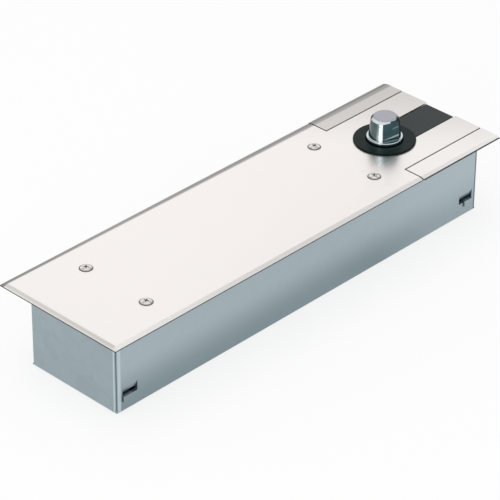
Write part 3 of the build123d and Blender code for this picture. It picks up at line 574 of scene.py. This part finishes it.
plated = Finish("zinc_plated_spindle", Metallic=1.0)
turned = plated.noise(plated.stretched(25.0, 25.0, 2400.0), 1.0, 2.0)
mottle = plated.noise(plated.place, 420.0, 3.0, 0.6)
across = plated.along(0) * math.sin(flat_turn) + plated.along(1) * math.cos(flat_turn)
along = plated.along(0) * math.cos(flat_turn) - plated.along(1) * math.sin(flat_turn)
height = plated.along(2)
facing = plated.start.math("ABSOLUTE", across)

# The taper's round sides in a dark teal that is painted reflection, with a painted highlight beside
# one edge of each flat.
shiny = plated.start.mixed(mottle, tone(190, 200, 204), tone(226, 234, 236))
cone_reflection = plated.start.mixed(mottle, tone(80, 102, 103), tone(114, 132, 132))
lit_side = plated.fade(across * along * 1000.0, 0.0, 0.004)
# Deeper painted shade on the other side, reaching up over the chamfer there.
shaded_side = (1.0 - lit_side) * plated.fade(facing, 0.0020, 0.0032)
cone_reflection = plated.start.mixed(shaded_side * 0.9, cone_reflection, cone_shade_tone)
cone_highlight = lit_side * plated.fade(facing, 0.0050, 0.0078)
cone_reflection = plated.start.mixed(cone_highlight, cone_reflection, cone_highlight_tone)
cone = plated.fade(height, head_foot + 0.0003, head_foot + 0.0007)
lowered = height - shade_over_chamfer * shaded_side
cone = cone * plated.fade(lowered, chamfer_foot + 0.0003, chamfer_foot)
skin = plated.start.mixed(cone, shiny, cone_reflection)

# The flats in a dark tone that is painted reflection, with two slanting painted reflections of
# lighter edges, and the end face.
flat_reflection = plated.start.mixed(mottle, tone(46, 68, 74), tone(70, 96, 102))
slant = height - along * reflection_slope
low_reflection = plated.fade(plated.start.math("ABSOLUTE", slant - low_reflection_height), 0.0008, 0.0003)
high_reflection = plated.fade(plated.start.math("ABSOLUTE", slant - high_reflection_height), 0.0007, 0.0002)
edge_reflections = low_reflection + high_reflection * plated.fade(along, 0.0, 0.003) * 0.4
# Painted reflections of lighter edges on the flats.
flat_reflection = plated.start.mixed(edge_reflections * 0.75, flat_reflection, reflected_edge_tone)
drawn_out = facing + (height - head_foot) * head_slope
flat = plated.fade(drawn_out, flat_half - 0.00012, flat_half - 0.00004)
flat = flat * plated.fade(height, head_foot, head_foot + 0.0002)
flat = flat * plated.fade(height, chamfer_foot + 0.0005, chamfer_foot + 0.0001)
skin = plated.start.mixed(flat, skin, flat_reflection)
end_face = plated.fade(height, end_face_foot, end_face_foot + 0.0003)
skin = plated.start.mixed(end_face, skin, end_face_tone)
plated.feed("Base Color", skin)
plated.feed("Roughness", 0.12 + mottle * 0.08)
plated.relief(turned * 0.7 + mottle * 0.3, 0.00002, 0.5)
softened("spindle", "spindle_unit", spindle_edge, plated)


# The studio: a plain white floor that keeps the shadow, soft lamps, grey boards off to the sides
# for the bright metal to mirror, and a long lens at the photograph's angle.
def sees_background(start):
    """1 for the rays that show the background: the camera's, and those mirrored or let through."""
    def ray(output):
        return start.node("ShaderNodeLightPath", {}, {}, output)
    seen = start.math("MAXIMUM", ray("Is Camera Ray"), ray("Is Glossy Ray"))
    return start.math("MAXIMUM", seen, ray("Is Transmission Ray"))


floor_size = 14.0
floor_height = -0.0002
floor_white = 0.8
sky_level = 0.75

bpy.ops.mesh.primitive_plane_add(size=floor_size, location=(0, 0, floor_height))
floor = bpy.context.object
floor.name = "studio_floor"
paper = bpy.data.materials.new("white_paper")
paper.use_nodes = True
paper.node_tree.nodes.clear()
at = Value(paper.node_tree)
matt_white = at.node("ShaderNodeBsdfDiffuse", {}, {"Color": tone(247, 247, 247)})
lit_white = at.node("ShaderNodeEmission", {}, {"Color": (1, 1, 1, 1), "Strength": 1.0})
share = sees_background(at) * floor_white
blend = at.node("ShaderNodeMixShader", {}, {0: share, 1: matt_white, 2: lit_white})
at.node("ShaderNodeOutputMaterial", {}, {"Surface": blend})
floor.data.materials.append(paper)


def board(name, centre, size, shade_level):
    """A board that only mirrored rays see, turned towards the spindle."""
    bpy.ops.mesh.primitive_plane_add(size=1.0, location=centre)
    card = bpy.context.object
    card.name = name
    card.scale = (size[0], size[1], 1)
    card.rotation_euler = card.location.normalized().to_track_quat("Z", "Y").to_euler()
    cloth = Finish(name + "_cloth", Base_Color=(0, 0, 0, 1), Specular_IOR_Level=0.0,
                   Emission_Color=(1, 1, 1, 1), Emission_Strength=shade_level)
    dress(card, cloth)
    card.visible_camera = False
    card.visible_diffuse = False
    card.visible_shadow = False
    card.visible_transmission = False


board("board_right", (1.45, -0.20, 0.40), (1.1, 0.6), 0.22)
board("board_back", (-0.80, 1.15, 0.42), (1.7, 0.7), 0.75)
board("board_low", (0.30, 0.26, 0.08), (1.1, 0.17), 0.5)
board("board_far", (0.72, 0.92, 0.13), (2.0, 0.24), 0.25)
board("board_high", (0.60, 0.14, 0.93), (0.9, 0.36), 0.5)
board("board_high_left", (-0.02, 0.62, 0.98), (0.6, 0.36), 0.55)
board("spark", (0.10, -0.80, 1.05), (0.16, 0.10), 1.6)

world = bpy.context.scene.world or bpy.data.worlds.new("studio")
bpy.context.scene.world = world
world.use_nodes = True
world.node_tree.nodes.clear()
sky = Value(world.node_tree)
strength = sees_background(sky) * (1.0 - sky_level) + sky_level
light = sky.node("ShaderNodeBackground", {}, {"Color": (1, 1, 1, 1), "Strength": strength})
sky.node("ShaderNodeOutputWorld", {}, {"Surface": light})


def softbox(name, centre, size, power, mirrored):
    """A soft lamp aimed at the spindle."""
    data = bpy.data.lights.new(name, "AREA")
    data.shape = "RECTANGLE"
    data.size, data.size_y = size
    data.energy = power
    lamp = bpy.data.objects.new(name, data)
    bpy.context.scene.collection.objects.link(lamp)
    lamp.location = centre
    lamp.rotation_euler = lamp.location.normalized().to_track_quat("Z", "Y").to_euler()
    lamp.visible_glossy = mirrored


softbox("overhead", (-0.3, 0.2, 1.9), (1.4, 1.0), 9.0, False)
softbox("left_key", (-1.7, -0.35, 0.75), (0.4, 0.6), 3.6, True)

lens = bpy.data.cameras.new("camera")
lens.lens = 210.29
lens.sensor_width = 36.0
lens.shift_x = 0.0132
lens.shift_y = -0.0086
lens.clip_start = 0.05
lens.clip_end = 50.0
camera = bpy.data.objects.new("camera", lens)
bpy.context.scene.collection.objects.link(camera)
camera.location = (-1.28610, -1.11277, 1.06367)
camera.rotation_euler = tuple(math.radians(a) for a in (57.3527, -0.3073, -45.7435))
bpy.context.scene.camera = camera

bpy.context.scene.view_settings.view_transform = "Standard"
